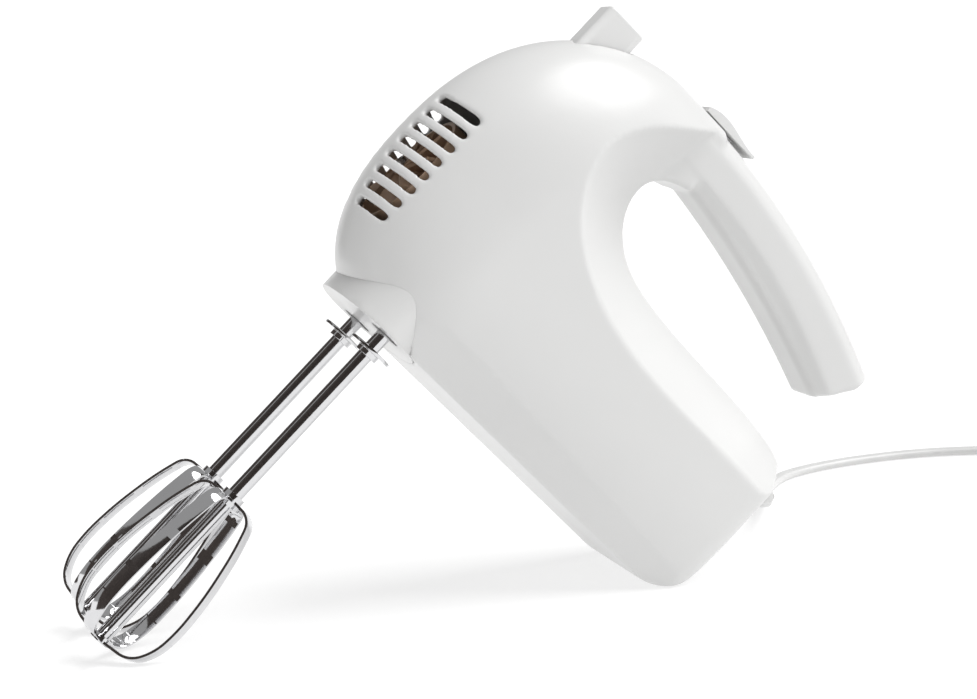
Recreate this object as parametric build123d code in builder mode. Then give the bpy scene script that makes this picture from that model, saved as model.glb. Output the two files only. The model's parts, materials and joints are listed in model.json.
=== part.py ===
from build123d import *
from math import cos, degrees, hypot, pi, radians, sin, sqrt, tan
import os

# Electric hand mixer with two ejectable beaters.
# Working frame: +X towards the heel, +Y to the mixer's right-hand side, +Z from the beaters up
# to the handle. X = 0 is the plane of the two spindles and Z = 0 the flat bottom of the spindle
# cover. At the end every piece is tilted about Y, so that the mixer leans on its beaters and heel.

# Driving dimensions (mm)
wall = 2.5
beater_spacing = 44.0

# Housing, front dome
dome_half_width = 42.0
dome_level = 80.0
dome_rise = 69.8
front_level = 62.0
brow_centre = 36.6
brow_rise = 88.2
brow_power = 2.3
chin_length = 44.0
chin_depth = 62.0
chin_power = 2.3
nose_ratio = 1.19
tuck = 8.0
tuck_level = 45.0
tuck_power = 2.4
body_levels = [-4, 6, 16, 28, 42, 62, 80, 96, 110, 122, 132, 140, 145.4, 148.6]
top_level = 170.0

# Housing, heel and hand opening
heel_back = 152.0
heel_top = 70.5
heel_corner = 18.0
heel_taper = 1.5
plan_corner = 10.0
opening_half = 15.0
opening_overlap = 1.0
bevel_half = 44.0
bevel_shift = 1.4
under_half = 30.0
chamfer_level = 14.0

# Handle
handle_half = 15.5
web_half = 12.5
handle_round = 10.0

# Air slots on each side of the dome
slot_count = 8
slot_pitch = 6.85
slot_low = 28.8
slot_height = 3.3
slot_front = -60.0
slot_rear = -29.0

# Spindle cover under the dome
cover_front = -23.0
cover_rear = 19.0
cover_half = 36.0
cover_top = 24.0
cover_floor = 2.5

# Drive
motor_level = 52.0
worm_radius = 6.25
wheel_teeth = 30
worm_starts = 2
wheel_radius = beater_spacing / 2 - worm_radius
wheel_width = 8.0
spindle_radius = 5.5
socket_radius = 3.08
spindle_low = 3.4
spindle_top = 66.0
shaft_radius = 2.5
core_front = 30.0
core_length = 22.0
core_radius = 13.5

# Beaters
beater_shaft_radius = 3.0
beater_top = 32.0
beater_end = -149.0
collar_level = -8.4
collar_radius = 9.0
whisk_top = -81.5
blade_width = 5.6
blade_gauge = 1.0
blade_turn = -40.0

# Ejector and speed slider
button_centre = -9.4
button_length = 18.0
button_width = 16.0
button_top = 150.4
button_round = 3.0
yoke_level = 78.0
slider_front = 36.8
slider_length = 26.8
slider_half = 8.0
slider_travel = 12.0

# Supply cord (mm, on the floor under the leaning mixer)
exit_level = 62.0
cord_radius = 2.0
cord_bend_share = 0.45
coil_radius = 36.0
coil_band = 6.6
coil_height = 7.2

# Gear case
case_low = 14.0
plate = 3.0
bridge_level = 60.0
web_front = 17.2
web_gauge = 2.5
web_half_width = 9.0
bush_radius = 7.0
boss_radius = 8.4

os.makedirs("parts", exist_ok=True)


# ---------------------------------------------------------------- housing


def front_of(level, inset=0.0):
    """X of the dome's front on the centre plane at a height: two superellipse quadrants."""
    if level > front_level:
        share = 1 - ((level - front_level) / (brow_rise - inset)) ** brow_power
        return brow_centre - (brow_centre + chin_length - inset) * max(share, 0.0) ** (1 / brow_power)
    share = 1 - ((front_level - level) / (chin_depth - inset)) ** chin_power
    return -(chin_length - inset) * max(share, 0.0) ** (1 / chin_power)


def half_width_of(level, inset=0.0):
    """Half the housing's width at a height: an elliptic crown above, a soft tuck-in below."""
    if level > dome_level:
        return (dome_half_width - inset) * sqrt(1 - ((level - dome_level) / (dome_rise - inset)) ** 2)
    return dome_half_width - inset - tuck * max((tuck_level - level) / tuck_level, 0.0) ** tuck_power


def plan_section(level, inset):
    """Horizontal section of the housing: half-ellipse nose, nearly straight sides, rounded heel."""
    width = half_width_of(level, inset)
    shoulder = front_of(level) + nose_ratio * half_width_of(level)
    nose = shoulder - front_of(level, inset)
    back = heel_back - inset
    rear = width - heel_taper
    corner = min(plan_corner - inset, rear * 0.8)
    with BuildSketch(Plane.XY.offset(level)) as section:
        with BuildLine():
            EllipticalCenterArc((shoulder, 0), nose, width, start_angle=90, arc_size=90)
            EllipticalCenterArc((shoulder, 0), nose, width, start_angle=180, arc_size=90)
            Line((shoulder, -width), (back - corner, -rear))
            RadiusArc((back - corner, -rear), (back, -rear + corner), -corner)
            Line((back, -rear + corner), (back, rear - corner))
            RadiusArc((back, rear - corner), (back - corner, rear), -corner)
            Line((back - corner, rear), (shoulder, width))
        make_face()
    return section.sketch


# The hand opening's edge on the centre plane, from the heel's top forward and up to the handle.
opening_edge = [
    (146, 73.5), (110, 76.8), (72, 79), (50, 85.2),
    (38.4, 97), (36, 107.5), (41, 116.2), (52, 121),
]
# Where the bevel round the opening starts and ends: on the handle's flank, and on the dome's side.
bevel_inside = [(165, 71), (110, 76.8), (72, 79), (50, 85.2), (38.4, 97), (36, 107.5), (37.5, 122), (41, 138)]
bevel_outside = [
    (165, 50), (109, 52.8), (62, 56), (32, 66.5), (15, 80.5),
    (6.5, 94.4), (3, 108), (6, 124), (22, 140),
]
bevel_inside_end = (45, top_level)
bevel_outside_end = (40, top_level)


def shifted(points, distance):
    """Points of an open outline, moved to the left of its direction."""
    moved = []
    for n, (x, z) in enumerate(points):
        before = points[max(n - 1, 0)]
        after = points[min(n + 1, len(points) - 1)]
        run = after[0] - before[0]
        rise = after[1] - before[1]
        length = hypot(run, rise)
        moved.append((x - distance * rise / length, z + distance * run / length))
    return moved


def side_outline(inset):
    """Side view of the housing without the handle, as a sketch on the centre plane."""
    low_back = heel_back - 0.5 - inset
    high_back = heel_back + 0.5 - inset
    corner = heel_corner - inset
    edge = shifted(opening_edge, inset)
    with BuildSketch(Plane.XZ) as outline:
        with BuildLine():
            Line((-heel_back, inset), (low_back - corner, inset))
            RadiusArc((low_back - corner, inset), (low_back, inset + corner), -corner)
            Line((low_back, inset + corner), (high_back, heel_top - inset))
            Line((high_back, heel_top - inset), edge[0])
            Spline(*edge, tangents=[(-1, 0.2), (1, 0.25)])
            Polyline(edge[-1], (46 - inset, top_level), (-heel_back, top_level), (-heel_back, inset))
        make_face()
    return outline.sketch


def side_plane(y):
    """Plane parallel to the centre plane at a distance, seen from the mixer's left."""
    return Plane(origin=(0, y, 0), x_dir=(1, 0, 0), z_dir=(0, -1, 0))


def bevel_cutter(side, inset):
    """What lies outside the bevel round the hand opening, on one side of the handle."""
    with BuildPart() as cutter:
        for half, points, end in (
            (opening_half, shifted(bevel_inside, -opening_overlap), bevel_inside_end),
            (bevel_half, bevel_outside, bevel_outside_end),
        ):
            with BuildSketch(side_plane(side * (half - bevel_shift * inset))):
                with BuildLine():
                    Spline(*points, end)
                    Polyline(end, (points[0][0], top_level), points[0])
                make_face()
        loft(ruled=True)
    return cutter.part


def chamfer_cutter(side, inset):
    """What lies below the lower side crease, which runs from the spindle cover to the heel."""
    edge_half = half_width_of(chamfer_level) - heel_taper / 2
    slope = (edge_half - under_half) / chamfer_level
    bottom = under_half - 1.2 * inset
    below = -10
    above = chamfer_level + 26
    reach = 2 * dome_half_width
    with BuildPart() as wedge:
        with BuildSketch(Plane.YZ.offset(-heel_back)):
            with BuildLine():
                Polyline(
                    (side * (bottom + below * slope), below),
                    (side * (bottom + above * slope), above),
                    (side * reach, above),
                    (side * reach, below),
                    close=True,
                )
            make_face()
        extrude(amount=3 * heel_back)
    return wedge.part


def body_solid(inset):
    """Solid of the dome and heel, drawn in by an inset for the cavity."""
    with BuildPart() as body:
        for level in body_levels:
            add(plan_section(level - inset * max(level - dome_level, 0) / dome_rise, inset))
        loft()
        extrude(side_outline(inset), amount=2 * dome_half_width, both=True, mode=Mode.INTERSECT)
        for side in (-1, 1):
            add(bevel_cutter(side, inset), mode=Mode.SUBTRACT)
            add(chamfer_cutter(side, inset), mode=Mode.SUBTRACT)
    return body.part


def handle_section(x, inset):
    """Upright section of the handle: a rounded bulge above a narrower web."""
    top = 148.4 - 0.0017 * (x - 40) ** 2 - inset
    crease = 123.6 - 0.00225 * (x - 50) ** 2
    bottom = 121.9 - 0.10 * (x - 50) - 0.00125 * (x - 50) ** 2 + inset
    half = handle_half - inset
    web = web_half - inset
    flank = top - handle_round
    right_low = (web - 4, bottom)
    right_web = (web, bottom + 1.6)
    right_crease = (web + 0.2, max(crease, bottom + 2.2))
    right_bulge = (half, max(crease, bottom + 2.2) + 3.6)
    rising = [right_low, right_web, right_crease, right_bulge, (half, flank)]
    falling = [(-y, z) for y, z in reversed(rising)]
    with BuildSketch(Plane.YZ.offset(x)) as section:
        with BuildLine():
            Polyline(*rising)
            EllipticalCenterArc((0, flank), half, handle_round, start_angle=0, arc_size=90)
            EllipticalCenterArc((0, flank), half, handle_round, start_angle=90, arc_size=90)
            Polyline(*falling)
            Line(falling[-1], rising[0])
        make_face()
    return section.sketch


def handle_solid(inset):
    """The handle, cut off obliquely at its end."""
    end = [(161.0, 140), (159.6, 122), (157.3, 114), (145.4, 97), (138, 86), (200, 86), (200, 140)]
    with BuildPart() as handle:
        for x in (32, 50, 75, 100, 125, 150, 175):
            add(handle_section(x, inset))
        loft()
        with BuildSketch(Plane.XZ):
            with BuildLine():
                Polyline(*[(x - inset, z) for x, z in end], close=True)
            make_face()
        extrude(amount=handle_half * 2, both=True, mode=Mode.SUBTRACT)
    return handle.part


def housing_solid(inset):
    """The whole outer form of the housing, or the form of its cavity."""
    with BuildPart() as whole:
        add(body_solid(inset))
        add(handle_solid(inset))
    return whole.part


def cover_outline(grow=0.0):
    """Plan outline of the spindle cover: an ellipse across the dome."""
    centre = (cover_front + cover_rear) / 2
    with BuildSketch() as outline:
        with Locations((centre, 0)):
            Ellipse((cover_rear - cover_front) / 2 + grow, cover_half + grow)
    return outline.sketch


def block(centre, size, mode=Mode.ADD):
    """A rectangular block inside the open part."""
    with Locations(centre):
        Box(*size, mode=mode)


def rod(start, direction, length, radius, mode=Mode.ADD):
    """A round bar inside the open part, from a point along a direction."""
    with BuildSketch(Plane(origin=start, z_dir=direction)) as round_section:
        Circle(radius)
    extrude(round_section.sketch, amount=length, mode=mode)


# ---------------------------------------------------------------- housing halves

# Screw posts between the two halves: X and Z on the centre plane.
screw_posts = [(-32, 92), (136, 50), (84, 12), (146, 113)]
post_radius = 4.0
screw_radius = 1.5
head_radius = 2.8
head_depth = 8.0
slot_levels = [slot_low + n * slot_pitch for n in range(slot_count)]

# Speed slider's stem and the cord's strain relief, which the housing opens for
stem_length = 8.0
stem_width = 6.0
stem_middle = 50.0
stem_slot_middle = stem_middle - slider_travel / 2
relief_neck = 4.0
relief_flange = 6.0
relief_end = 2.9
relief_length = 24.0

half_space = Pos(0, -150, 0) * Box(600, 300, 600)
left_form = housing_solid(0) & half_space
left_cavity = housing_solid(wall) & half_space

ribs = [
    (41, -40, motor_level, 3, 30, 24),
    (45, -25, 131, 3, 30, 9),
    (134, -29, exit_level, 4, 40, 8),
]

with BuildPart() as half_shell:
    add(left_form)
    add(left_cavity, mode=Mode.SUBTRACT)
    # Screw posts, and ribs that hold the motor, the gear case, the switch and the cord clamp
    for x, z in screw_posts:
        post = Cylinder(post_radius, 60, rotation=(90, 0, 0), mode=Mode.PRIVATE)
        add(post.moved(Location((x, -30, z))) & left_cavity)
    for x, y, z, length, width, height in ribs:
        rib = Box(length, width, height, mode=Mode.PRIVATE)
        add(rib.moved(Location((x, y, z))) & left_cavity)
    # Air slots through the front of the dome
    for level in slot_levels:
        with BuildSketch(Plane.XZ.offset(6)) as slot:
            with Locations(((slot_front + slot_rear) / 2, level + slot_height / 2)):
                SlotOverall(slot_rear - slot_front, slot_height)
        extrude(slot.sketch, amount=dome_half_width, mode=Mode.SUBTRACT)
    # Openings for the button, the slider's stem, the cover, the spindles and the cord
    block((button_centre, 0, button_top - 20), (button_length + 0.8, button_width + 0.8, 50), Mode.SUBTRACT)
    block((stem_slot_middle, 0, 147), (stem_length + slider_travel + 1, stem_width + 0.8, 12), Mode.SUBTRACT)
    extrude(cover_outline(0.1), amount=cover_floor + 0.1, both=True, mode=Mode.SUBTRACT)
    rod((0, -beater_spacing / 2, -1), (0, 0, 1), 12, spindle_radius + 1.2, Mode.SUBTRACT)
    block((-1, 0, 5), (26, 16, 12), Mode.SUBTRACT)
    rod((heel_back - 8, 0, exit_level), (1, 0, 0), 20, relief_neck, Mode.SUBTRACT)

with BuildPart() as left_housing:
    add(half_shell.part)
    for x, z in screw_posts:
        rod((x, 1, z), (0, -1, 0), 11, screw_radius, Mode.SUBTRACT)

with BuildPart() as right_housing:
    add(mirror(half_shell.part, about=Plane.XZ, mode=Mode.PRIVATE))
    for x, z in screw_posts:
        rod((x, -1, z), (0, 1, 0), 60, screw_radius + 0.1, Mode.SUBTRACT)
        rod((x, head_depth, z), (0, 1, 0), 60, head_radius + 0.2, Mode.SUBTRACT)

with BuildPart() as housing_screws:
    for x, z in screw_posts:
        rod((x, head_depth + 2.0, z), (0, -1, 0), head_depth + 11.0, screw_radius)
        rod((x, head_depth + 2.2, z), (0, -1, 0), 2.2, head_radius)

# ---------------------------------------------------------------- spindle cover

with BuildPart() as spindle_cover:
    extrude(cover_outline(), amount=cover_top)
    add(left_form, mode=Mode.SUBTRACT)
    add(mirror(left_form, about=Plane.XZ, mode=Mode.PRIVATE), mode=Mode.SUBTRACT)
    extrude(cover_outline(), amount=cover_floor)
    # Pads under the gear case
    for x in (-9, 7):
        block((x, 0, (cover_floor + case_low) / 2), (4, 12, case_low - cover_floor))
    for side in (-1, 1):
        rod((0, side * beater_spacing / 2, -1), (0, 0, 1), 12, spindle_radius + 0.7, Mode.SUBTRACT)

# ---------------------------------------------------------------- gear case

def spindle_sides():
    """Y of the left and the right spindle."""
    return (-beater_spacing / 2, beater_spacing / 2)


with BuildPart() as gear_case:
    with BuildSketch(Plane.XY.offset(case_low)):
        SlotCenterToCenter(beater_spacing, 2 * boss_radius, rotation=90)
        Rectangle(2 * (web_front + web_gauge), 2 * web_half_width)
    extrude(amount=plate)
    for y in spindle_sides():
        rod((0, y, case_low - 2), (0, 0, 1), 7, boss_radius - 0.4)
    for side in (-1, 1):
        block((side * (web_front + web_gauge / 2), 0, (case_low + bridge_level) / 2),
              (web_gauge, 2 * web_half_width, bridge_level - case_low))
    for y in spindle_sides():
        rod((0, y, 0), (0, 0, 1), 30, bush_radius, Mode.SUBTRACT)
    rod((-30, 0, motor_level), (1, 0, 0), 60, 5.0, Mode.SUBTRACT)

with BuildPart() as gear_case_cover:
    with BuildSketch(Plane.XY.offset(bridge_level)):
        SlotCenterToCenter(beater_spacing, 2 * boss_radius, rotation=90)
        Rectangle(2 * (web_front + web_gauge), 2 * web_half_width)
    extrude(amount=plate)
    for y in spindle_sides():
        rod((0, y, bridge_level), (0, 0, 1), 5, boss_radius - 0.4)
    for y in spindle_sides():
        rod((0, y, bridge_level - 1), (0, 0, 1), 20, bush_radius, Mode.SUBTRACT)
    for x in (-web_front - web_gauge / 2, web_front + web_gauge / 2):
        rod((x, 5, bridge_level - 1), (0, 0, 1), 20, 0.8, Mode.SUBTRACT)
        rod((x, -5, bridge_level - 1), (0, 0, 1), 20, 0.8, Mode.SUBTRACT)

with BuildPart() as gear_case_screws:
    for x in (-web_front - web_gauge / 2, web_front + web_gauge / 2):
        for y in (-5, 5):
            rod((x, y, bridge_level), (0, 0, 1), plate, 0.8)
            rod((x, y, bridge_level + plate), (0, 0, 1), 1.4, 1.9)

with BuildPart() as spindle_bushes:
    for y in spindle_sides():
        for level in (case_low - 2, bridge_level):
            rod((0, y, level), (0, 0, 1), 7 if level < bridge_level else 5, bush_radius)
            rod((0, y, level - 1), (0, 0, 1), 12, spindle_radius + 0.06, Mode.SUBTRACT)


def spindle(y):
    """A hollow spindle: the beater's shaft fits its bore from below, the push rod from above."""
    with BuildPart() as sleeve:
        rod((0, y, spindle_low), (0, 0, 1), spindle_top - spindle_low, spindle_radius)
        rod((0, y, spindle_low - 1), (0, 0, 1), spindle_top, socket_radius, Mode.SUBTRACT)
    return sleeve


left_spindle = spindle(-beater_spacing / 2)
right_spindle = spindle(beater_spacing / 2)

# ---------------------------------------------------------------- worm and worm wheels

lead = 2 * pi * wheel_radius / wheel_teeth * worm_starts
tooth_angle = 360 / wheel_teeth
wheel_root = wheel_radius - 1.2
wheel_tip = wheel_radius + 0.95
worm_root = worm_radius - 1.35
worm_tip = worm_radius + 0.9
worm_length = 20.0


def polar(radius, angle, centre=(0, 0)):
    """Point at a radius and an angle in degrees about a centre."""
    return (centre[0] + radius * cos(radians(angle)), centre[1] + radius * sin(radians(angle)))


def worm_wheel(y):
    """A helical wheel on its spindle, with one tooth space facing the worm at rest."""
    twist = degrees(wheel_width * lead / (2 * pi * worm_radius) / wheel_radius)
    tooth = ((wheel_root, -3.1), (wheel_tip, -1.5), (wheel_tip, 1.5), (wheel_root, 3.1))
    corners = []
    for n in range(wheel_teeth):
        middle = n * tooth_angle - twist / 2
        for radius, offset_angle in tooth:
            corners.append(polar(radius, middle + offset_angle))
    with BuildSketch() as outline:
        with BuildLine():
            Polyline(*corners, close=True)
        make_face()
    low = (0, y, motor_level - wheel_width / 2)
    wire = outline.sketch.faces()[0].outer_wire().moved(Location(low))
    blank = Solid.extrude_linear_with_rotation(wire, low, (0, 0, wheel_width), twist)
    with BuildPart() as wheel:
        add(blank)
        rod((0, y, motor_level - wheel_width), (0, 0, 1), 2 * wheel_width, spindle_radius, Mode.SUBTRACT)
    return wheel


left_worm_wheel = worm_wheel(-beater_spacing / 2)
right_worm_wheel = worm_wheel(beater_spacing / 2)


def worm_blank():
    """Twisted bar whose section has one lobe for each thread."""
    turn = 360 * worm_length / lead
    start = -turn / 2
    crest = 16.0
    foot = 50.0
    with BuildSketch() as outline:
        with BuildLine():
            for n in range(worm_starts):
                middle = start + n * 180
                flank = Line(polar(worm_root, middle - foot), polar(worm_tip, middle - crest))
                top = ThreePointArc(flank @ 1, polar(worm_tip, middle), polar(worm_tip, middle + crest))
                flank = Line(top @ 1, polar(worm_root, middle + foot))
                ThreePointArc(flank @ 1, polar(worm_root, middle + 90), polar(worm_root, middle + 180 - foot))
        make_face()
    wire = outline.sketch.faces()[0].outer_wire().moved(Location(Plane.YZ.offset(-worm_length / 2)))
    return Solid.extrude_linear_with_rotation(wire, (-worm_length / 2, 0, 0), (worm_length, 0, 0), turn)


with BuildPart() as worm:
    add(worm_blank().moved(Location((0, 0, motor_level))))
    rod((-worm_length, 0, motor_level), (1, 0, 0), 2 * worm_length, shaft_radius, Mode.SUBTRACT)

# ---------------------------------------------------------------- motor

core_back = core_front + core_length


def along_motor(start, length, radius, bore=0.0):
    """A round piece on the motor's axis, inside the open part."""
    rod((start, 0, motor_level), (1, 0, 0), length, radius)
    if bore:
        rod((start - 1, 0, motor_level), (1, 0, 0), length + 2, bore, Mode.SUBTRACT)


with BuildPart() as motor_shaft:
    along_motor(-36, 112, shaft_radius)

with BuildPart() as armature_core:
    along_motor(core_front, core_length, core_radius, shaft_radius)
    for n in range(12):
        y, z = polar(core_radius, n * 30 + 15, (0, motor_level))
        rod((core_front - 1, y, z), (1, 0, 0), core_length + 2, 1.0, Mode.SUBTRACT)

with BuildPart() as armature_winding:
    for start in (core_front - 5.5, core_back):
        with BuildSketch(Plane.YZ.offset(start)) as ring:
            with Locations((0, motor_level)):
                Circle(11.5)
                Circle(shaft_radius, mode=Mode.SUBTRACT)
        extrude(ring.sketch, amount=5.5)

with BuildPart() as commutator:
    along_motor(core_back + 6.5, 10, 8.0, shaft_radius)
    for n in range(12):
        y, z = polar(8.0, n * 30, (0, motor_level))
        rod((core_back + 6, y, z), (1, 0, 0), 12, 0.35, Mode.SUBTRACT)

with BuildPart() as stator_core:
    with BuildSketch(Plane.YZ.offset(core_front)):
        with Locations((0, motor_level)):
            RectangleRounded(50, 36, 7)
            Circle(core_radius + 0.7, mode=Mode.SUBTRACT)
            with Locations((-17.2, 0), (17.2, 0)):
                Rectangle(7, 12.6, mode=Mode.SUBTRACT)
    extrude(amount=core_length)


def field_coil(side):
    """One field coil: legs through the stator's windows and an arch across each end."""
    for start in (core_front - 5, core_back):
        with BuildSketch(Plane.YZ.offset(start)) as arch:
            with Locations((0, motor_level)):
                Circle(20.0)
                Circle(14.6, mode=Mode.SUBTRACT)
                with Locations((0, -side * 20)):
                    Rectangle(60, 40.6, mode=Mode.SUBTRACT)
        extrude(arch.sketch, amount=5)
    for y in (-17.5, 17.5):
        block((core_front + core_length / 2, y, motor_level + side * 3.2), (core_length, 5.0, 5.8))


with BuildPart() as field_coils:
    field_coil(1)
    field_coil(-1)


def motor_bracket(mouth, plate_start, bore):
    """U-shaped strap on an end of the stator, with a bearing seat in its plate."""
    far_end = plate_start if plate_start > mouth else plate_start + 2
    middle = (mouth + far_end) / 2
    block((plate_start + 1, 0, motor_level), (2, 50, 12))
    for y in (-23.7, 23.7):
        block((middle, y, motor_level), (abs(far_end - mouth), 2.6, 12))
    rod((plate_start - 5, 0, motor_level), (1, 0, 0), 12, bore, Mode.SUBTRACT)


front_plate = web_front + web_gauge
rear_plate = core_back + 20
with BuildPart() as front_bracket:
    motor_bracket(core_front, front_plate, 5.0)

with BuildPart() as rear_bracket:
    motor_bracket(core_back, rear_plate, 5.0)

with BuildPart() as shaft_bearings:
    for start in (-web_front - web_gauge - 1, web_front - 1, rear_plate - 1):
        with BuildSketch(Plane.YZ.offset(start)) as ring:
            with Locations((0, motor_level)):
                Circle(5.0)
                Circle(shaft_radius + 0.06, mode=Mode.SUBTRACT)
        extrude(ring.sketch, amount=4)

with BuildPart() as cooling_fan:
    along_motor(-34, 8, 4.5)
    for n in range(9):
        blade_plane = Plane(origin=(-30, 0, motor_level), x_dir=(1, 0, 0), z_dir=(0, *polar(1, n * 40)))
        with BuildSketch(blade_plane.offset(4)) as blade:
            Rectangle(7.5, 1.4, rotation=35)
        extrude(blade.sketch, amount=17)
    along_motor(-27.2, 1.2, 12)
    rod((-40, 0, motor_level), (1, 0, 0), 20, shaft_radius, Mode.SUBTRACT)

with BuildPart() as brush_holders:
    for side in (-1, 1):
        block((core_back + 11.5, side * 16, motor_level), (9, 12.8, 9))
        block((core_back + 11.5, side * 15, motor_level), (6, 16, 6), Mode.SUBTRACT)

with BuildPart() as carbon_brushes:
    for side in (-1, 1):
        block((core_back + 11.5, side * 11.8, motor_level), (5.8, 7, 5.8))


def coil_spring(start, direction, length, radius, wire_radius, turns):
    """A round-wire compression spring with open ends."""
    guide = Plane(origin=start, z_dir=direction)
    path = Helix(length / turns, length, radius)
    with BuildPart() as spring:
        with BuildSketch(Plane(origin=path @ 0, z_dir=path % 0)):
            Circle(wire_radius)
        sweep(path=path, is_frenet=True)
    return spring.part.moved(Location(guide))


brush_coils = [coil_spring((core_back + 11.5, side * 15.6, motor_level), (0, side, 0), 6.0, 2.0, 0.3, 5)
               for side in (-1, 1)]
with BuildPart() as brush_springs:
    add(brush_coils)

# ---------------------------------------------------------------- ejector

spring_length = yoke_level - bridge_level - plate - 2.0
with BuildPart() as eject_button:
    with BuildSketch(Plane.XY.offset(122)):
        with Locations((button_centre, 0)):
            Rectangle(button_length, button_width)
    extrude(amount=button_top - 122)
    fillet(eject_button.edges().filter_by(Axis.Z), button_round)
    fillet(eject_button.faces().sort_by(Axis.Z)[-1].edges(), 1.2)
    block((button_centre, 0, 121), (button_length, button_width + 3, 2))
    rod((button_centre, 0, yoke_level + 3), (0, 0, 1), 40, 4.0)

with BuildPart() as eject_yoke:
    with BuildSketch(Plane.XY.offset(yoke_level)):
        SlotCenterToCenter(beater_spacing, 10, rotation=90)
        with Locations((button_centre / 2, 0)):
            Rectangle(-button_centre + 12, 14)
    extrude(amount=3)
    for y in spindle_sides():
        rod((0, y, beater_top + 1), (0, 0, 1), yoke_level - beater_top, 2.4)

spring_foot = (button_centre, 0, bridge_level + plate + 1.0)
eject_coil = coil_spring(spring_foot, (0, 0, 1), spring_length, 3.4, 0.5, 6)
with BuildPart() as eject_spring:
    add(eject_coil)

# ---------------------------------------------------------------- speed control

with BuildPart() as speed_slider:
    with BuildSketch(Plane.XZ.offset(-slider_half)):
        with BuildLine():
            foot = Line((slider_front, 149.0), (slider_front + slider_length, 149.0))
            rise = Line(foot @ 1, (slider_front + slider_length, 150.3))
            hump = [(slider_front + 14, 152.0), (slider_front + 8, 152.7), (slider_front, 150.9)]
            crown = Spline(rise @ 1, *hump)
            Line(crown @ 1, foot @ 0)
        make_face()
    extrude(amount=2 * slider_half)
    block((stem_middle, 0, 145.6), (stem_length, stem_width, 8))

with BuildPart() as switch_wiper:
    block((stem_middle, 0, 141.0), (9, 5, 1.2))
    block((stem_middle - 3, 0, 139.9), (2, 3, 1.0))

with BuildPart() as switch_block:
    block((46, 0, 132.4), (30, 20, 12))
    block((46, 0, 138.0), (26, 8, 3.6), Mode.SUBTRACT)

with BuildPart() as switch_contacts:
    for n in range(4):
        block((37.5 + n * 5, 0, 136.8), (3, 6, 1.2))

# ---------------------------------------------------------------- wiring and cord entry


def wire_run(points, bend, radius):
    """A wire along straight runs with rounded bends."""
    with BuildPart() as wire:
        with BuildLine() as route:
            FilletPolyline(*points, radius=bend)
        with BuildSketch(Plane(origin=route.line @ 0, z_dir=route.line % 0)):
            Circle(radius)
        sweep(path=route.line)
    return wire.part


def wire_stops(y):
    """Corners of one lead from the switch down behind the motor to the cord's end."""
    return [
        (31, y, 131),
        (27, y, 131),
        (27, y, 77),
        (60, y, 75.5),
        (90, y, 66),
        (118, y * 0.5, 62.3),
        (128, y * 0.27, 62),
    ]


wires = [wire_run(wire_stops(y), 2.5, 1.0) for y in (-4.0, 4.0)]
with BuildPart() as lead_wires:
    add(wires)

with BuildPart() as cord_clamp:
    block((134, 0, exit_level), (12, 18, 12))
    rod((120, 0, exit_level), (1, 0, 0), 40, cord_radius, Mode.SUBTRACT)

with BuildPart() as cord_end:
    rod((128, 0, exit_level), (1, 0, 0), 16, cord_radius)

# The relief's neck is clamped in the heel's back; its tapered tail is bent outside.
with BuildPart() as relief_neck_piece:
    rod((141, 0, exit_level), (1, 0, 0), heel_back + 0.5 - 141, relief_neck)
    rod((145.5, 0, exit_level), (1, 0, 0), 3.5, relief_flange)
    rod((140, 0, exit_level), (1, 0, 0), 4, cord_radius, Mode.SUBTRACT)

# ---------------------------------------------------------------- fan shroud

with BuildPart() as fan_shroud:
    with BuildSketch(Plane.YZ.offset(-31)) as ring:
        with Locations((0, motor_level)):
            Circle(24.5)
            Circle(23.0, mode=Mode.SUBTRACT)
    extrude(ring.sketch, amount=9)
    with BuildSketch(Plane.YZ.offset(-23)) as back:
        with Locations((0, motor_level)):
            Circle(24.5)
            Circle(9.0, mode=Mode.SUBTRACT)
            with PolarLocations(16, 8):
                Circle(4.2, mode=Mode.SUBTRACT)
    extrude(back.sketch, amount=1.6)
    for z in (-6.5, 6.5):
        block((-20.6, 0, motor_level + 1.0 * z), (1.8, 16, 1.2))

# ---------------------------------------------------------------- beaters

# One wing of the whisk in its own plane: distance from the axis, and height.
wing_corners = [
    (2.6, whisk_top),
    (12.2, whisk_top - 0.4),
    (16.6, -95.0),
    (20.2, -113.0),
    (21.45, -128.0),
    (20.4, -139.0),
    (15.0, -147.8),
    (2.6, beater_end - 0.4),
]


def bend_radii(stops, share):
    """Radius at each bend: the given share of the shorter run beside it goes into the bend."""
    corners = [Vector(*stop) for stop in stops]
    radii = []
    for before, corner, after in zip(corners, corners[1:], corners[2:]):
        turn = radians((corner - before).get_angle(after - corner))
        shorter = min((corner - before).length, (after - corner).length)
        radii.append(share * shorter / tan(turn / 2))
    return radii


with BuildLine(Plane.XZ) as wing_route:
    FilletPolyline(*wing_corners, radius=bend_radii(wing_corners, 0.49))
wing_path = wing_route.line
with BuildPart() as wing:
    with BuildSketch(Plane(origin=wing_path @ 0, z_dir=wing_path % 0, x_dir=(0, 1, 0))):
        Rectangle(blade_width, blade_gauge)
    sweep(path=wing_path)


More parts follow.
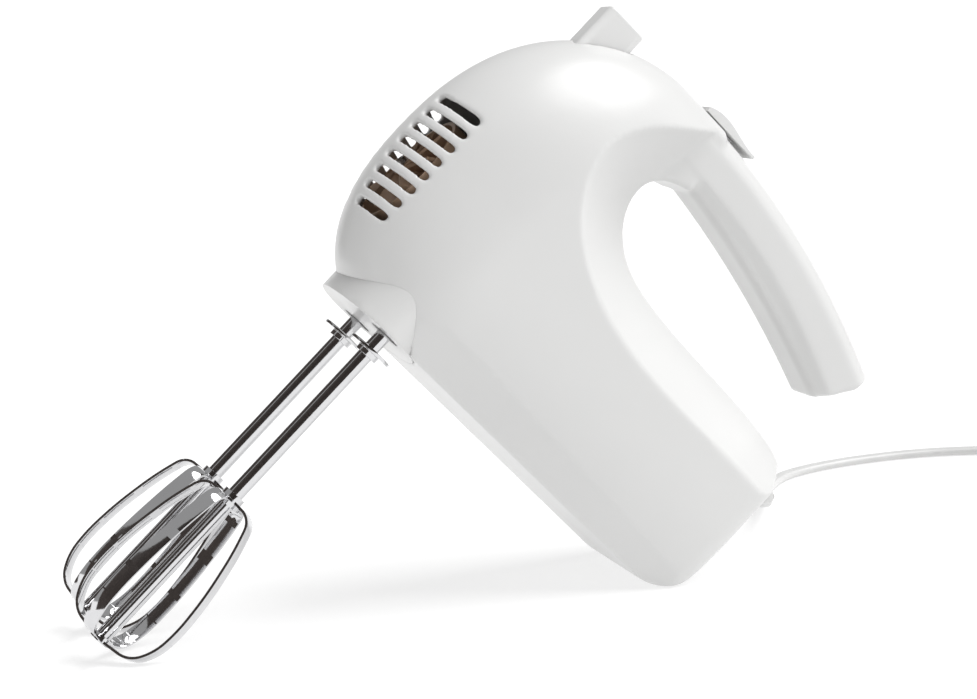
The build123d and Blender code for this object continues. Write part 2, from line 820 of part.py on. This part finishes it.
def beater(y, phase):
    """Shaft, collar and four-winged whisk of one beater, as three parts."""
    with BuildPart() as shaft:
        rod((0, y, beater_end), (0, 0, 1), beater_top - beater_end, beater_shaft_radius)
        chamfer(shaft.edges().group_by(Axis.Z)[-1], 0.8)
        for n in range(2):
            turn = radians(phase + 90 * n)
            rod((-6 * cos(turn), y - 6 * sin(turn), 24), (cos(turn), sin(turn), 0), 12, 0.9, Mode.SUBTRACT)
    with BuildPart() as collar:
        rod((0, y, collar_level), (0, 0, 1), 1.2, collar_radius)
        rod((0, y, collar_level - 2.0), (0, 0, 1), 2.2, 4.6)
        rod((0, y, collar_level - 5), (0, 0, 1), 10, beater_shaft_radius, Mode.SUBTRACT)
    with BuildPart() as blades:
        for n in range(4):
            add(wing.part.moved(Location((0, 0, 0), (0, 0, phase + 90 * n))))
        rod((0, 0, whisk_top - 2.4), (0, 0, 1), 4.8, 4.4)
        rod((0, 0, beater_end - 1.2), (0, 0, 1), 2.6, 4.2)
        rod((0, 0, beater_end), (0, 0, 1), 200, beater_shaft_radius, Mode.SUBTRACT)
    blades.part = blades.part.moved(Location((0, y, 0)))
    return shaft, collar, blades


left_beater_shaft, left_beater_collar, left_beater_blades = beater(-beater_spacing / 2, blade_turn)
right_beater_shaft, right_beater_collar, right_beater_blades = beater(beater_spacing / 2, blade_turn)

# ---------------------------------------------------------------- lean

# The mixer rests on the heel's lower corner and on the whisks' lower corners.
wing_samples = 600
wing_points = [wing_path @ (n / wing_samples) for n in range(wing_samples + 1)]
wing_facing = cos(radians(blade_turn))
wing_edge = blade_width / 2 * abs(sin(radians(blade_turn)))


def heel_drop(angle):
    """How far below the working origin the heel's rounded corner reaches at a lean."""
    centre_x = heel_back - 0.5 - heel_corner
    return centre_x * sin(angle) - heel_corner * cos(angle) + heel_corner


def whisk_drop(angle):
    """How far below the working origin the whisks reach at a lean."""
    reach = max(wing_facing * point.X * sin(angle) - point.Z * cos(angle) for point in wing_points)
    face = blade_gauge / 2 * hypot(wing_facing * sin(angle), cos(angle))
    return reach + face + wing_edge * sin(angle)


low_angle = radians(40)
high_angle = radians(60)
for _ in range(40):
    middle_angle = (low_angle + high_angle) / 2
    if heel_drop(middle_angle) < whisk_drop(middle_angle):
        low_angle = middle_angle
    else:
        high_angle = middle_angle
lean_angle = (low_angle + high_angle) / 2
lean = Location((0, 0, heel_drop(lean_angle)), (0, degrees(lean_angle), 0))


def leaned(x, y, z):
    """A working-frame point on the leaning mixer."""
    return Vector(*(lean * Location((x, y, z))).position)


# ---------------------------------------------------------------- supply cord

exit_point = leaned(heel_back + 0.5, 0, exit_level)
exit_direction = Vector(cos(lean_angle), 0, -sin(lean_angle))
lay_direction = Vector(0.35, 0.90, -0.26).normalized()
bend_angle = exit_direction.get_angle(lay_direction)
bend_radius = relief_length / radians(bend_angle)
bend_side = (lay_direction - exit_direction * exit_direction.dot(lay_direction)).normalized()


def relief_plane(share):
    """Cross-section plane at a share of the way along the relief's bent tail."""
    angle = radians(bend_angle * share)
    ahead = exit_direction * bend_radius * sin(angle)
    centre = exit_point + ahead + bend_side * bend_radius * (1 - cos(angle))
    return Plane(origin=centre, z_dir=exit_direction * cos(angle) + bend_side * sin(angle))


with BuildPart() as relief_tail:
    for n in range(7):
        share = n / 6
        with BuildSketch(relief_plane(share)):
            Circle(4.4 + (relief_end - 4.4) * share)
    loft()

with BuildPart() as strain_relief:
    add(relief_neck_piece.part.moved(lean))
    add(relief_tail.part)

coil_centre = (370.0, 128.0)
cord_start = relief_plane(1).origin
cord_stops = [
    tuple(cord_start),
    (167, 29.5, 13.3),
    (175, 50, 6.5),
    (184, 74, 2.2),
    (196, 98, cord_radius),
    (212, 117, cord_radius),
    (232, 126, cord_radius),
    (258, 129.5, cord_radius),
    (286, 127, cord_radius),
    (310, 117, cord_radius),
    (333, 104, cord_radius),
    (352, 95, cord_radius),
    (366, 91.6, cord_radius),
]
tail_stops = [(404.5, 124, 5.2), (409, 138, 5.6), (408, 152, 6.1), (403, 166, 6.5)]


def cord_tube(stops):
    """Round cord along the stops."""
    bends = bend_radii(stops, cord_bend_share)
    with BuildPart() as tube:
        with BuildLine() as route:
            FilletPolyline(*stops, radius=bends)
        with BuildSketch(Plane(origin=route.line @ 0, z_dir=route.line % 0)):
            Circle(cord_radius)
        sweep(path=route.line)
    length = sum(edge.length for edge in route.edges())
    print("cord radii", [round(bend, 1) for bend in bends], "length", round(length, 1))
    return tube.part


with BuildPart() as cord_coil:
    with BuildSketch():
        with Locations(coil_centre):
            Circle(coil_radius + coil_band)
            Circle(coil_radius - coil_band, mode=Mode.SUBTRACT)
    extrude(amount=coil_height)
    fillet(cord_coil.edges(), 3.0)

lead_tube = cord_tube(cord_stops)
with BuildPart() as cord_lead:
    add(lead_tube)
    add(cord_coil.part, mode=Mode.SUBTRACT)

tail_tube = cord_tube(tail_stops)
with BuildPart() as cord_tail:
    add(tail_tube)
    add(cord_coil.part, mode=Mode.SUBTRACT)

# Two-blade plug lying beside the coil
plug_length = 26.0
plug_direction = (Vector(*tail_stops[-1]) - Vector(*tail_stops[-2])).normalized()
plug_direction = Vector(plug_direction.X, plug_direction.Y, 0).normalized()
plug_rear = Plane(origin=tail_stops[-1], x_dir=plug_direction.cross(Vector(0, 0, 1)), z_dir=plug_direction)
blade_spacing = 12.7

with BuildPart() as plug_body:
    for distance, width, height in ((0, 8, 7), (9, 14, 10), (17, 22, 12.2), (plug_length, 23, 12.2)):
        with BuildSketch(plug_rear.offset(distance)):
            RectangleRounded(width, height, height * 0.3)
    loft()

with BuildPart() as plug_blades:
    with BuildSketch(plug_rear.offset(plug_length)):
        with Locations((-blade_spacing / 2, 0), (blade_spacing / 2, 0)):
            Rectangle(1.5, 6.35)
    extrude(amount=17)

# ---------------------------------------------------------------- placing and export

mixer_pieces = {
    "left_housing": left_housing,
    "right_housing": right_housing,
    "housing_screws": housing_screws,
    "spindle_cover": spindle_cover,
    "gear_case": gear_case,
    "gear_case_cover": gear_case_cover,
    "gear_case_screws": gear_case_screws,
    "spindle_bushes": spindle_bushes,
    "left_spindle": left_spindle,
    "right_spindle": right_spindle,
    "left_worm_wheel": left_worm_wheel,
    "right_worm_wheel": right_worm_wheel,
    "worm": worm,
    "motor_shaft": motor_shaft,
    "armature_core": armature_core,
    "armature_winding": armature_winding,
    "commutator": commutator,
    "stator_core": stator_core,
    "field_coils": field_coils,
    "front_bracket": front_bracket,
    "rear_bracket": rear_bracket,
    "shaft_bearings": shaft_bearings,
    "cooling_fan": cooling_fan,
    "fan_shroud": fan_shroud,
    "brush_holders": brush_holders,
    "carbon_brushes": carbon_brushes,
    "brush_springs": brush_springs,
    "eject_button": eject_button,
    "eject_yoke": eject_yoke,
    "eject_spring": eject_spring,
    "speed_slider": speed_slider,
    "switch_wiper": switch_wiper,
    "switch_block": switch_block,
    "switch_contacts": switch_contacts,
    "lead_wires": lead_wires,
    "cord_clamp": cord_clamp,
    "cord_end": cord_end,
    "left_beater_shaft": left_beater_shaft,
    "left_beater_collar": left_beater_collar,
    "left_beater_blades": left_beater_blades,
    "right_beater_shaft": right_beater_shaft,
    "right_beater_collar": right_beater_collar,
    "right_beater_blades": right_beater_blades,
}
loose_pieces = {
    "strain_relief": strain_relief,
    "cord_lead": cord_lead,
    "cord_coil": cord_coil,
    "cord_tail": cord_tail,
    "plug_body": plug_body,
    "plug_blades": plug_blades,
}


# Origin: middle of the leaning mixer's bounding box, on the floor
span = [leaned_piece.bounding_box() for leaned_piece in (
    half_shell.part.moved(lean),
    left_beater_blades.part.moved(lean),
    left_beater_shaft.part.moved(lean),
)]
middle_x = (min(box.min.X for box in span) + max(box.max.X for box in span)) / 2
floor_level = min(box.min.Z for box in span)
to_origin = Location((-middle_x, 0, -floor_level))
print("lean", degrees(lean_angle), "middle", middle_x, "floor", heel_drop(lean_angle) - floor_level)

for name, piece in mixer_pieces.items():
    piece.part.locate(to_origin * lean * piece.part.location)
for name, piece in loose_pieces.items():
    piece.part.locate(to_origin * piece.part.location)
for name, piece in {**mixer_pieces, **loose_pieces}.items():
    piece.part.label = name
    export_step(piece.part, "parts/" + name + ".step")
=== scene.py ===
"""Electric hand mixer leaning on its beaters and heel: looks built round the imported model."""

import bpy
import bmesh
import json
from math import cos, pi, radians, sin
from mathutils import Matrix, Vector


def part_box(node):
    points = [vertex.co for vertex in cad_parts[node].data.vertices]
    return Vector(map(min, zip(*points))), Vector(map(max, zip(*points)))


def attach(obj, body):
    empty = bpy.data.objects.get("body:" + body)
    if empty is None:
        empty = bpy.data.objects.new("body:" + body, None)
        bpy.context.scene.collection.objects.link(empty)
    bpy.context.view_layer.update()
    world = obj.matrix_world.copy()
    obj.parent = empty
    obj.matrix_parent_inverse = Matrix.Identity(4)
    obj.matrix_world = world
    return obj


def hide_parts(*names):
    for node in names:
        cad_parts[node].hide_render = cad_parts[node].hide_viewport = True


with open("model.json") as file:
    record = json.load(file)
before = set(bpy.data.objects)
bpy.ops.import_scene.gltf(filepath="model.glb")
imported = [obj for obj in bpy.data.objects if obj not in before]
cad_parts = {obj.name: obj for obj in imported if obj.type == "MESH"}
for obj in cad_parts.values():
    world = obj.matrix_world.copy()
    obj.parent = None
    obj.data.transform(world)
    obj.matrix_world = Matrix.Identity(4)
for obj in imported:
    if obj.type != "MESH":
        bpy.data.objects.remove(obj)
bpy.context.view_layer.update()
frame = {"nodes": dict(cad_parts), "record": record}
nodes = frame["nodes"]

MM = 0.001

# Camera: where it looks from, how far away it is and how much the picture leans
VIEW_AZIMUTH = radians(-15.743)
VIEW_ELEVATION = radians(8.685)
VIEW_ROLL = radians(-4.032)
VIEW_DISTANCE = 0.850
VIEW_TARGET = Vector((0.00214, -0.01267, 0.09543))
LENS = 83.63
SENSOR = 36.0

# Supply cord: a flat twin cord, wider than it is thick
CORD_WIDTH = 6.6 * MM
CORD_THICKNESS = 3.4 * MM
CORD_ARC = 132
CORD_ARC_STEPS = 8
COIL_CENTRE = Vector((330.51, 128.0, 0)) * MM
COIL_OUTER = 39.2 * MM
COIL_INNER = 32.8 * MM
COIL_LOW = 1.8 * MM
COIL_HIGH = 5.3 * MM
COIL_POINTS = 16


def collection_link(obj):
    """Puts a new object in the scene and returns it."""
    bpy.context.scene.collection.objects.link(obj)
    return obj


# ---------------------------------------------------------------- camera


def make_camera():
    """The camera that the picture is taken with."""
    back = Vector((
        sin(VIEW_AZIMUTH) * cos(VIEW_ELEVATION),
        -cos(VIEW_AZIMUTH) * cos(VIEW_ELEVATION),
        sin(VIEW_ELEVATION),
    ))
    level_right = Vector((0, 0, 1)).cross(back).normalized()
    level_up = back.cross(level_right)
    right = level_right * cos(VIEW_ROLL) + level_up * sin(VIEW_ROLL)
    up = back.cross(right)
    data = bpy.data.cameras.new("camera")
    data.lens = LENS
    data.sensor_width = SENSOR
    data.clip_start = 0.01
    data.clip_end = 20
    camera = collection_link(bpy.data.objects.new("camera", data))
    camera.matrix_world = Matrix((
        (right.x, up.x, back.x, 0),
        (right.y, up.y, back.y, 0),
        (right.z, up.z, back.z, 0),
        (0, 0, 0, 1),
    ))
    camera.location = VIEW_TARGET + back * VIEW_DISTANCE
    bpy.context.scene.camera = camera


make_camera()

# ---------------------------------------------------------------- materials


class Shader:
    """A node material round one Principled shader, with helpers that add its detail."""

    def __init__(self, name, colour, roughness, metallic=0.0):
        self.material = bpy.data.materials.new(name)
        self.material.use_nodes = True
        self.nodes = self.material.node_tree.nodes
        self.links = self.material.node_tree.links
        self.shader = self.nodes["Principled BSDF"]
        self.shader.inputs["Base Color"].default_value = (*colour, 1)
        self.shader.inputs["Roughness"].default_value = roughness
        self.shader.inputs["Metallic"].default_value = metallic
        self.colour = colour
        self.roughness = roughness
        self.place = self.nodes.new("ShaderNodeTexCoord")
        self.height = None

    def noise(self, scale, detail=3.0, stretch=(1, 1, 1)):
        """Noise in the object's own space, with features about one over the scale in size."""
        mapping = self.nodes.new("ShaderNodeMapping")
        mapping.inputs["Scale"].default_value = stretch
        texture = self.nodes.new("ShaderNodeTexNoise")
        texture.inputs["Scale"].default_value = scale
        texture.inputs["Detail"].default_value = detail
        self.links.new(self.place.outputs["Object"], mapping.inputs["Vector"])
        self.links.new(mapping.outputs["Vector"], texture.inputs["Vector"])
        return texture.outputs["Fac"]

    def ramp(self, factor, low, high, start=0.3, end=0.7):
        """A colour ramp from low to high."""
        ramp = self.nodes.new("ShaderNodeValToRGB")
        ramp.color_ramp.elements[0].position = start
        ramp.color_ramp.elements[1].position = end
        ramp.color_ramp.elements[0].color = (*low, 1)
        ramp.color_ramp.elements[1].color = (*high, 1)
        self.links.new(factor, ramp.inputs["Fac"])
        return ramp.outputs["Color"]

    def mottle(self, scale, strength, stretch=(1, 1, 1)):
        """Slight variation of the colour."""
        low = [c * (1 - strength) for c in self.colour]
        high = [min(c * (1 + strength), 1) for c in self.colour]
        colour = self.ramp(self.noise(scale, stretch=stretch), low, high)
        self.links.new(colour, self.shader.inputs["Base Color"])
        return self

    def uneven_gloss(self, scale, spread, stretch=(1, 1, 1)):
        """Roughness that varies over the surface."""
        value = self.nodes.new("ShaderNodeMapRange")
        value.inputs["To Min"].default_value = max(self.roughness - spread, 0.02)
        value.inputs["To Max"].default_value = self.roughness + spread
        self.links.new(self.noise(scale, stretch=stretch), value.inputs["Value"])
        self.links.new(value.outputs["Result"], self.shader.inputs["Roughness"])
        return self

    def grain(self, scale, depth, stretch=(1, 1, 1), detail=3.0):
        """Fine relief of a given depth in metres."""
        bump = self.nodes.new("ShaderNodeBump")
        bump.inputs["Distance"].default_value = depth
        bump.inputs["Strength"].default_value = 1.0
        self.links.new(self.noise(scale, detail, stretch), bump.inputs["Height"])
        if self.height is not None:
            self.links.new(self.height, bump.inputs["Normal"])
        self.height = bump.outputs["Normal"]
        self.links.new(self.height, self.shader.inputs["Normal"])
        return self


def white_plastic():
    """Moulded white plastic with a satin gloss and a faint ripple."""
    shader = Shader("white_plastic", (0.64, 0.64, 0.635), 0.30).mottle(18, 0.012)
    shader.shader.inputs["Specular IOR Level"].default_value = 0.45
    return shader.uneven_gloss(60, 0.04).grain(2600, 0.000006).grain(35, 0.00003)


def control_plastic():
    """The button's and slider's plastic, a little more matt."""
    shader = Shader("control_plastic", (0.70, 0.70, 0.695), 0.36).mottle(30, 0.015)
    return shader.uneven_gloss(90, 0.05).grain(3000, 0.000006)


def chrome():
    """Polished chrome plate with faint drawing marks."""
    shader = Shader("beater_chrome", (0.66, 0.66, 0.67), 0.08, 1.0).mottle(120, 0.02)
    return shader.uneven_gloss(400, 0.035).grain(500, 0.000008)


def metal(name, colour, roughness, scale=600):
    """Bare or plated metal with fine brushing."""
    shader = Shader(name, colour, roughness, 1.0).mottle(scale / 4, 0.06)
    return shader.uneven_gloss(scale, 0.08).grain(scale * 2, 0.00001)


def moulding(name, colour, roughness=0.5, scale=900):
    """Plain moulded plastic or rubber."""
    shader = Shader(name, colour, roughness).mottle(scale / 10, 0.05)
    return shader.uneven_gloss(scale / 5, 0.06).grain(scale, 0.00001)


def winding():
    """Enamelled copper wire laid round the motor's axis."""
    shader = Shader("copper_winding", (0.36, 0.13, 0.05), 0.32, 0.6)
    return shader.mottle(700, 0.3).grain(1200, 0.00012, (1, 3, 3))


SHEETS = (6, 1, 1)


def laminations():
    """Stacked varnished steel sheets."""
    shader = Shader("laminated_steel", (0.12, 0.12, 0.13), 0.45, 0.8)
    return shader.mottle(900, 0.35, SHEETS).grain(900, 0.0001, SHEETS)


MATERIALS = {
    "white_shell": white_plastic(),
    "white_control": control_plastic(),
    "plated_screw": metal("plated_screw", (0.45, 0.45, 0.44), 0.3),
    "gear_case_nylon": moulding("gear_case_nylon", (0.62, 0.59, 0.50)),
    "sintered_bronze": metal("sintered_bronze", (0.45, 0.28, 0.13), 0.45),
    "spindle_steel": metal("spindle_steel", (0.42, 0.42, 0.42), 0.28),
    "gear_plastic": moulding("gear_plastic", (0.70, 0.66, 0.56), 0.4),
    "laminated_steel": laminations(),
    "copper_winding": winding(),
    "commutator_copper": metal("commutator_copper", (0.55, 0.26, 0.14), 0.3),
    "bracket_steel": metal("bracket_steel", (0.48, 0.48, 0.47), 0.35),
    "brown_moulding": moulding("brown_moulding", (0.46, 0.31, 0.21), 0.45),
    "brass_tube": metal("brass_tube", (0.60, 0.42, 0.16), 0.32),
    "carbon": moulding("carbon", (0.02, 0.02, 0.02), 0.6),
    "spring_steel": metal("spring_steel", (0.55, 0.55, 0.55), 0.25),
    "yoke_plastic": moulding("yoke_plastic", (0.42, 0.42, 0.41)),
    "dark_moulding": moulding("dark_moulding", (0.03, 0.028, 0.026)),
    "wire_insulation": moulding("wire_insulation", (0.02, 0.02, 0.022), 0.4),
    "cord_jacket": moulding("cord_jacket", (0.58, 0.58, 0.575), 0.38),
    "relief_rubber": moulding("relief_rubber", (0.58, 0.58, 0.575), 0.48),
    "plug_vinyl": moulding("plug_vinyl", (0.76, 0.76, 0.75), 0.42),
    "plug_brass": metal("plug_brass", (0.66, 0.58, 0.38), 0.25),
    "beater_chrome": chrome(),
}


def dress(obj, slot):
    """Gives a piece the material of a record slot."""
    obj.data.materials.clear()
    obj.data.materials.append(MATERIALS[slot].material)
    return obj


slot_of = {part["node"]: part["material_slot"] for part in frame["record"]["subparts"]}
for name, node in nodes.items():
    dress(node, slot_of[name])

# ---------------------------------------------------------------- rounded edges

SAME_POINT = 0.002 * MM
SHARP_ANGLE = 32
EDGES = {
    "eject_button": 0.5 * MM,
    "speed_slider": 0.4 * MM,
    "spindle_cover": 0.5 * MM,
    "left_beater_collar": 0.2 * MM,
    "right_beater_collar": 0.2 * MM,
    "left_beater_blades": 0.18 * MM,
    "right_beater_blades": 0.18 * MM,
}


def round_edges(node, width):
    """Small roundings on a piece's sharp edges, for the light to catch."""
    weld = node.modifiers.new("weld", "WELD")
    weld.merge_threshold = SAME_POINT
    bevel = node.modifiers.new("edges", "BEVEL")
    bevel.width = width
    bevel.segments = 2
    bevel.limit_method = "ANGLE"
    bevel.angle_limit = radians(SHARP_ANGLE)


for name, width in EDGES.items():
    round_edges(nodes[name], width)

# ---------------------------------------------------------------- supply cord

cord_stops = [
    (121.07, 12.12, 18.97),
    (127.51, 29.5, 13.3),
    (135.51, 50, 6.5),
    (144.51, 74, 2.2),
    (156.51, 98, 1.7),
    (172.51, 117, 1.7),
    (192.51, 126, 1.7),
    (218.51, 129.5, 1.7),
    (246.51, 127, 1.7),
    (270.51, 117, 1.7),
    (293.51, 104, 1.7),
    (312.51, 93, 1.7),
]
tail_stops = [(369.81, 138, 5.6), (368.51, 152, 6.1), (363.51, 166, 6.5)]


def coil_stops():
    """Two turns on the floor from the outside in, then two on top from the inside out."""
    stops = []
    total = 4 * COIL_POINTS + COIL_POINTS // 4
    for n in range(total + 1):
        turn = n / COIL_POINTS
        inward = min(max((turn - 0.85) / 0.3, 0), 1)
        outward = min(max((turn - 2.85) / 0.3, 0), 1)
        upward = min(max((turn - 1.8) / 0.4, 0), 1)
        radius = COIL_OUTER + (COIL_INNER - COIL_OUTER) * (inward - outward)
        height = COIL_LOW + (COIL_HIGH - COIL_LOW) * upward
        angle = 2 * pi * turn - pi / 2
        stops.append(COIL_CENTRE + Vector((radius * cos(angle), radius * sin(angle), height)))
    return stops


def make_cord():
    """The flat twin cord from the strain relief to the plug, as one smooth curve."""
    lead = [Vector(stop) * MM for stop in cord_stops]
    tail = [Vector(stop) * MM for stop in tail_stops]
    route = lead + coil_stops() + tail
    profile = bpy.data.curves.new("cord_profile", "CURVE")
    profile.dimensions = "2D"
    outline = profile.splines.new("BEZIER")
    core = (CORD_WIDTH - CORD_THICKNESS) / 2
    corners = []
    for side in (1, -1):
        for n in range(CORD_ARC_STEPS + 1):
            angle = radians(CORD_ARC * (n / CORD_ARC_STEPS - 0.5)) + (0 if side > 0 else pi)
            across = side * core + cos(angle) * CORD_THICKNESS / 2
            corners.append((across, sin(angle) * CORD_THICKNESS / 2))
    outline.bezier_points.add(len(corners) - 1)
    for point, (x, y) in zip(outline.bezier_points, corners):
        point.co = (x, y, 0)
        point.handle_left_type = point.handle_right_type = "AUTO"
    outline.use_cyclic_u = True
    section = collection_link(bpy.data.objects.new("cord_profile", profile))
    section.hide_render = True
    curve = bpy.data.curves.new("supply_cord", "CURVE")
    curve.dimensions = "3D"
    curve.twist_mode = "Z_UP"
    curve.resolution_u = 6
    curve.bevel_mode = "OBJECT"
    curve.bevel_object = section
    curve.use_fill_caps = True
    spline = curve.splines.new("NURBS")
    spline.points.add(len(route) - 1)
    for point, place in zip(spline.points, route):
        point.co = (*place, 1)
    spline.order_u = 3
    spline.use_endpoint_u = True
    spline.use_smooth = True
    return collection_link(bpy.data.objects.new("supply_cord", curve))


cord = make_cord()
dress(cord, "cord_jacket")
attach(cord, "housing")
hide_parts("cord_lead", "cord_coil", "cord_tail")

# ---------------------------------------------------------------- housing shell

VOXEL = 0.8 * MM
SEAM_OVERLAP = 0.2 * MM
SOFTEN_ROUNDS = 14
SLOT_SOFTEN = 0.25
SLOT_REACH_X = 35 * MM
SLOT_REACH_Z = 20 * MM


def welded(node):
    """A node's mesh as a bmesh with its faces joined up."""
    mesh = bmesh.new()
    mesh.from_mesh(node.data)
    bmesh.ops.remove_doubles(mesh, verts=mesh.verts, dist=SAME_POINT)
    return mesh


def applied(obj):
    """Makes an object's modified mesh its own mesh and drops the modifiers."""
    graph = bpy.context.evaluated_depsgraph_get()
    mesh = bpy.data.meshes.new_from_object(obj.evaluated_get(graph))
    obj.modifiers.clear()
    old = obj.data
    obj.data = mesh
    bpy.data.meshes.remove(old)
    return obj


def make_shell():
    """Both housing halves as one moulding with softened creases."""
    whole = bpy.data.meshes.new("housing_shell")
    joined = bmesh.new()
    for name, side in (("left_housing", -1), ("right_housing", 1)):
        half = welded(nodes[name])
        for vertex in half.verts:
            if abs(vertex.co.y) < 0.005 * MM:
                vertex.co.y = -side * SEAM_OVERLAP
        half.to_mesh(whole)
        half.free()
        joined.from_mesh(whole)
    joined.to_mesh(whole)
    joined.free()
    shell = collection_link(bpy.data.objects.new("housing_shell", whole))
    remesh = shell.modifiers.new("remesh", "REMESH")
    remesh.mode = "VOXEL"
    remesh.voxel_size = VOXEL
    remesh.use_smooth_shade = True
    applied(shell)
    shroud_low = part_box("fan_shroud")[0]
    group = shell.vertex_groups.new(name="soften")
    near = []
    far = []
    for vertex in shell.data.vertices:
        beside = vertex.co.x < shroud_low.x + SLOT_REACH_X
        above = vertex.co.z > shroud_low.z - SLOT_REACH_Z
        (near if beside and above else far).append(vertex.index)
    group.add(near, SLOT_SOFTEN, "REPLACE")
    group.add(far, 1.0, "REPLACE")
    soften = shell.modifiers.new("soften", "SMOOTH")
    soften.factor = 0.5
    soften.iterations = SOFTEN_ROUNDS
    soften.vertex_group = "soften"
    applied(shell)
    dress(shell, "white_shell")
    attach(shell, "housing")
    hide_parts("left_housing", "right_housing")
    return shell


shell = make_shell()

# ---------------------------------------------------------------- floor and light

FLOOR_MIDDLE = 0.05
FLOOR_FLAT = 1.6
FLOOR_EDGE = 4.0
FLOOR_RISE = 0.9
FLOOR_GAP = 0.3 * MM
FLOOR_RINGS = 24
FLOOR_SIDES = 64
FLOOR_GLOW = 0.65

# Dark screens round the mixer, with gaps between them: degrees round from the front
SCREEN_SPANS = [(-160, -98), (-82, 42), (58, 120)]
SCREEN_SIDES = 24
SCREEN_RADIUS = 1.7
SCREEN_LOW = 0.02
SCREEN_HIGH = 2.3

SURROUNDINGS = 0.40
SUN_AZIMUTH = 66
SUN_ELEVATION = 56
SUN_SOFTNESS = 50
SUN_STRENGTH = 1.05


def facing(azimuth, elevation):
    """Direction from the mixer at an azimuth and elevation in degrees."""
    a = radians(azimuth)
    e = radians(elevation)
    return Vector((sin(a) * cos(e), -cos(a) * cos(e), sin(e)))


def make_floor():
    """A plain pale floor that sweeps up a little all round, far from the mixer."""
    data = bpy.data.meshes.new("floor")
    mesh = bmesh.new()
    rings = []
    for ring in range(FLOOR_RINGS + 1):
        radius = FLOOR_MIDDLE + FLOOR_EDGE * ring / FLOOR_RINGS
        beyond = max(radius - FLOOR_FLAT, 0) / (FLOOR_EDGE - FLOOR_FLAT)
        height = FLOOR_RISE * beyond ** 2 - FLOOR_GAP
        corners = []
        for side in range(FLOOR_SIDES):
            angle = 2 * pi * side / FLOOR_SIDES
            corners.append(mesh.verts.new((radius * cos(angle), radius * sin(angle), height)))
        rings.append(corners)
    mesh.faces.new(rings[0])
    for inner, outer in zip(rings, rings[1:]):
        for side in range(FLOOR_SIDES):
            after = (side + 1) % FLOOR_SIDES
            mesh.faces.new((inner[side], outer[side], outer[after], inner[after]))
    for face in mesh.faces:
        face.smooth = True
    mesh.to_mesh(data)
    mesh.free()
    floor = collection_link(bpy.data.objects.new("floor", data))
    shader = Shader("floor_paper", (0.40, 0.40, 0.40), 0.85).mottle(6, 0.004)
    shader.shader.inputs["Specular IOR Level"].default_value = 0.1
    shader.shader.inputs["Emission Color"].default_value = (1, 1, 1, 1)
    shader.shader.inputs["Emission Strength"].default_value = FLOOR_GLOW
    data.materials.append(shader.material)


def make_screen(azimuth_from, azimuth_to):
    """A dark curved screen that the camera doesn't see, there for the chrome to reflect."""
    data = bpy.data.meshes.new("dark_screen")
    mesh = bmesh.new()
    columns = []
    for n in range(SCREEN_SIDES + 1):
        direction = facing(azimuth_from + (azimuth_to - azimuth_from) * n / SCREEN_SIDES, 0)
        foot = direction * SCREEN_RADIUS
        heights = (SCREEN_LOW, SCREEN_HIGH)
        columns.append([mesh.verts.new(foot + Vector((0, 0, height))) for height in heights])
    for before, after in zip(columns, columns[1:]):
        mesh.faces.new((before[0], after[0], after[1], before[1]))
    mesh.to_mesh(data)
    mesh.free()
    screen = collection_link(bpy.data.objects.new("dark_screen", data))
    screen.visible_camera = False
    screen.visible_shadow = False
    screen.visible_diffuse = False
    data.materials.append(Shader("dark_screen", (0.035, 0.026, 0.022), 0.9).mottle(5, 0.2).material)


def make_sun():
    """One broad soft light from above on the camera's right."""
    data = bpy.data.lights.new("soft_box", "SUN")
    data.angle = radians(SUN_SOFTNESS)
    data.energy = SUN_STRENGTH * pi
    sun = collection_link(bpy.data.objects.new("soft_box", data))
    sun.rotation_mode = "QUATERNION"
    sun.rotation_quaternion = facing(SUN_AZIMUTH, SUN_ELEVATION).to_track_quat("Z", "Y")


def make_world():
    """Even white surroundings."""
    world = bpy.data.worlds.new("studio")
    world.use_nodes = True
    background = world.node_tree.nodes["Background"]
    background.inputs["Color"].default_value = (1, 1, 1, 1)
    background.inputs["Strength"].default_value = SURROUNDINGS
    bpy.context.scene.world = world


make_floor()
make_world()
make_sun()
for azimuth_from, azimuth_to in SCREEN_SPANS:
    make_screen(azimuth_from, azimuth_to)
bpy.context.scene.view_settings.view_transform = "Standard"
